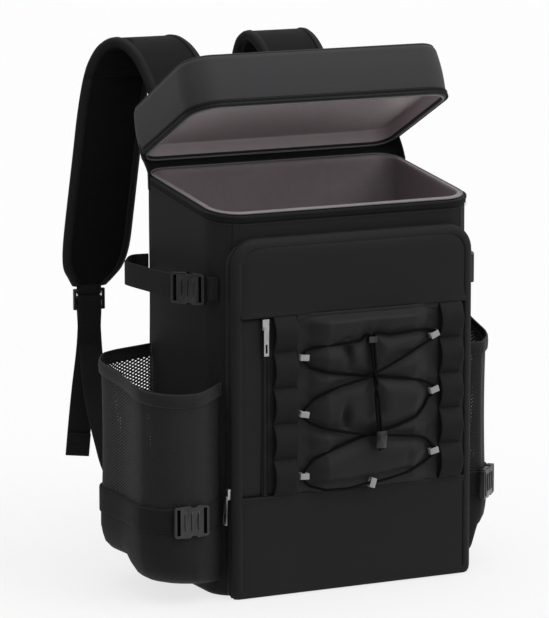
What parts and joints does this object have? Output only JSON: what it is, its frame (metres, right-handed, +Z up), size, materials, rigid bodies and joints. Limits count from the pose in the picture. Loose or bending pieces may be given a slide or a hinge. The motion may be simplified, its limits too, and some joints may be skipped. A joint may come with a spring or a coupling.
{
  "type": "cooler backpack",
  "caption": "Soft insulated backpack tub with a tipped-open tray lid, laced zipped front pocket, mesh side pockets, buckled side straps and padded shoulder straps.",
  "frame": {"origin": "middle of the flat base, on the floor", "axes": "+Z up, -Y the front with the laced pocket, +X to the right seen from the front"},
  "size_m": [0.4524, 0.3941, 0.5958],
  "materials": {
    "body_fabric": "woven polyester, coated, matt",
    "lid_fabric": "woven polyester, coated, matt",
    "lining": "wipe-clean laminated lining, satin",
    "piping": "corded edge binding, satin",
    "zip_tape": "woven zip tape",
    "webbing": "flat polyester webbing",
    "mesh_fabric": "knitted stretch mesh",
    "moulded_plastic": "moulded acetal, satin",
    "keeper_plastic": "moulded acetal, light grey",
    "pull_metal": "die cast, satin",
    "stretch_cord": "braided elastic cord"
  },
  "bodies": {
    "root": {"back_panel": "body_fabric", "base_panel": "body_fabric", "body_lining": "lining", "body_shell": "body_fabric", "bungee": "stretch_cord", "cord_lock": "moulded_plastic", "keeper_bottom": "keeper_plastic", "keeper_left_1": "keeper_plastic", "keeper_left_2": "keeper_plastic", "keeper_left_3": "keeper_plastic", "keeper_right_1": "keeper_plastic", "keeper_right_2": "keeper_plastic", "keeper_right_3": "keeper_plastic", "keeper_top": "moulded_plastic", "left_ladder": "webbing", "left_ladder_lock": "moulded_plastic", "left_lower_buckle": "moulded_plastic", "left_lower_strap": "webbing", "left_lower_tab": "webbing", "left_pad_loop": "webbing", "left_pocket_foot": "body_fabric", "left_pocket_hem": "webbing", "left_pocket_mesh": "mesh_fabric", "left_shoulder_pad": "body_fabric", "left_strap_webbing": "webbing", "left_upper_buckle": "moulded_plastic", "left_upper_strap": "webbing", "left_upper_tab": "webbing", "lid_hinge": "body_fabric", "lid_panel": "lining", "lid_piping": "piping", "lid_shell": "lid_fabric", "lid_zip": "zip_tape", "middle_panel": "body_fabric", "pocket_gusset": "body_fabric", "pocket_slider": "pull_metal", "pocket_zip": "zip_tape", "pouch_slider": "pull_metal", "pouch_zip": "zip_tape", "right_ladder": "webbing", "right_ladder_lock": "moulded_plastic", "right_lower_buckle": "moulded_plastic", "right_lower_strap": "webbing", "right_lower_tab": "webbing", "right_pad_loop": "webbing", "right_pocket_foot": "body_fabric", "right_pocket_hem": "webbing", "right_pocket_mesh": "mesh_fabric", "right_shoulder_pad": "body_fabric", "right_strap_webbing": "webbing", "right_upper_buckle": "moulded_plastic", "right_upper_strap": "webbing", "right_upper_tab": "webbing", "rim_zip": "zip_tape", "stretch_panel": "mesh_fabric", "upper_panel": "body_fabric"}
  },
  "joints": []
}
